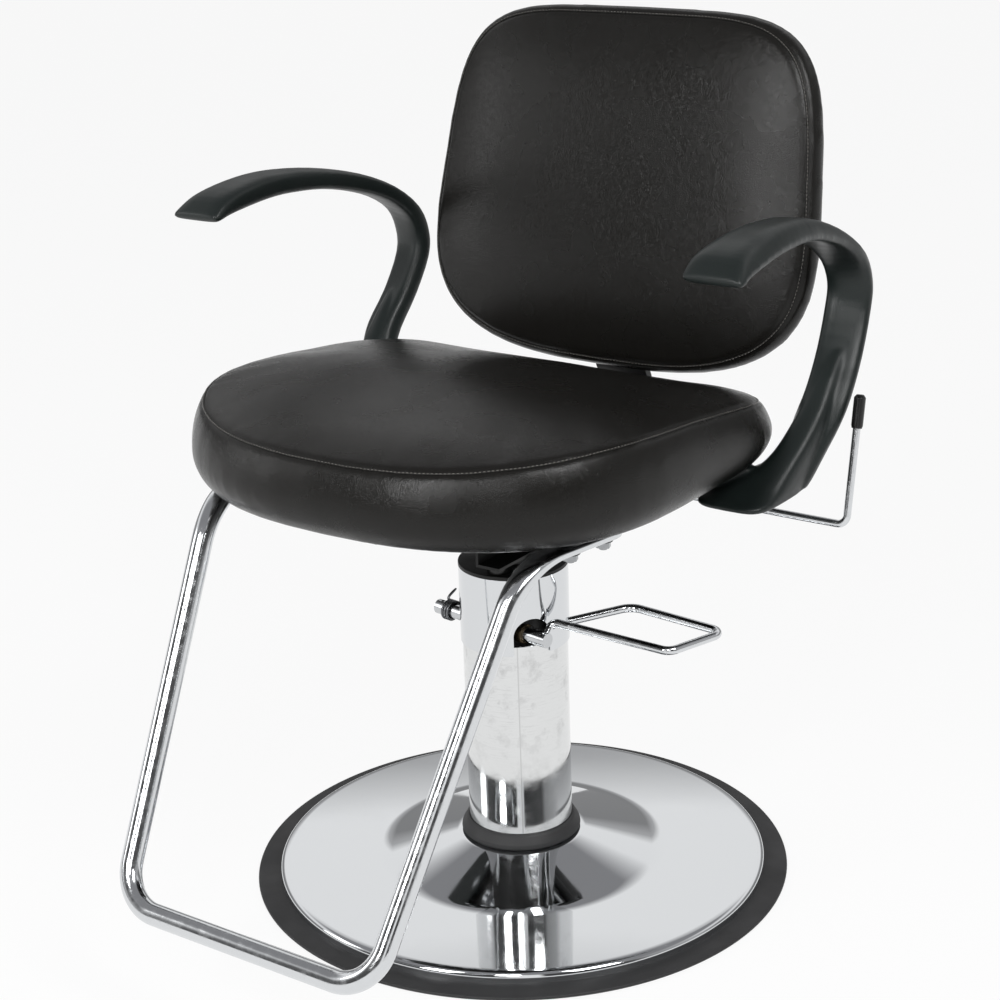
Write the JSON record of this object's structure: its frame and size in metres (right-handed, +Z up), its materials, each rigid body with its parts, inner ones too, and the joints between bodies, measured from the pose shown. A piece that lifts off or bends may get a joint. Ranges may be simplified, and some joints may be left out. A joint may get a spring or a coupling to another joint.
{
  "type": "styling chair",
  "caption": "Salon styling chair: disc base, foot-pumped hydraulic column, swivelling padded seat with loop arms, tube footrest, reclining back and release lever.",
  "frame": {"origin": "on the floor, on the axis of the pump column", "axes": "+Z up, the seat faces -Y, +X is on the side of the recline lever and pump pedal"},
  "size_m": [0.6784, 0.7595, 0.9006],
  "materials": {
    "chrome": "polished",
    "rubber": "matte",
    "cast_iron": "satin",
    "steel": "satin",
    "black_paint": "satin",
    "bronze": "satin",
    "plug": "satin",
    "grip": "satin",
    "arm_foam": "satin",
    "plywood": "matte",
    "panel": "satin",
    "vinyl": "satin"
  },
  "bodies": {
    "base": {"trim_ring": "rubber", "ballast_disc": "cast_iron", "base_plate": "chrome", "pump_flange": "cast_iron", "flange_bolts": "steel", "column_collar": "rubber", "lower_tube": "chrome", "pump_body": "cast_iron", "shaft_bushes": "bronze", "upper_sleeve": "chrome", "pump_cap": "black_paint", "oil_plug": "plug", "ram_seal": "rubber", "return_spring": "steel"},
    "ram": {"ram": "chrome"},
    "pedal": {"cross_shaft": "steel", "pedal_loop": "chrome", "shaft_screws": "black_paint"},
    "seat": {"seat_socket": "black_paint", "swivel_bush": "bronze", "mounting_plate": "black_paint", "socket_bolts": "steel", "rail_left": "black_paint", "rail_right": "black_paint", "rail_bolts": "steel", "seat_board": "plywood", "board_bolts": "steel", "seat_cushion": "vinyl", "footrest_tube": "chrome", "footrest_pads": "rubber", "footrest_bolts": "chrome", "footrest_washers": "rubber", "footrest_nuts": "chrome", "arm_left": "arm_foam", "arm_right": "arm_foam", "arm_bolts": "steel", "hinge_pin": "steel", "hinge_clips": "steel", "lever_spring": "steel"},
    "back": {"hinge_knuckle": "black_paint", "back_bar": "black_paint", "lock_quadrant": "steel", "back_board": "plywood", "back_cushion": "vinyl", "back_panel": "panel", "back_bolts": "steel"},
    "lever": {"lever_rod": "chrome", "lever_grip": "grip", "lever_cam": "steel"}
  },
  "joints": [
    {"name": "lift", "type": "slide", "parent": "base", "child": "ram", "axis": [0, 0, 1], "range_m": [0, 0.15]},
    {"name": "swivel", "type": "hinge", "parent": "ram", "child": "seat", "pos_m": [0, 0, 0.385], "axis": [0, 0, 1], "continuous": true},
    {"name": "recline", "type": "hinge", "parent": "seat", "child": "back", "pos_m": [0, 0.172, 0.432], "axis": [-1, 0, 0], "range_deg": [0, 24]},
    {"name": "recline_lever", "type": "hinge", "parent": "seat", "child": "lever", "pos_m": [0, 0.133, 0.411], "axis": [-1, 0, 0], "range_deg": [0, 16], "stiffness_Nm_per_rad": 1.2, "springref_deg": -14.32},
    {"name": "pump_pedal", "type": "hinge", "parent": "base", "child": "pedal", "pos_m": [-0.00352, -0.02677, 0.29], "axis": [0.9914, -0.1305, 0], "range_deg": [-22, 0], "stiffness_Nm_per_rad": 4, "springref_deg": 20.05}
  ]
}
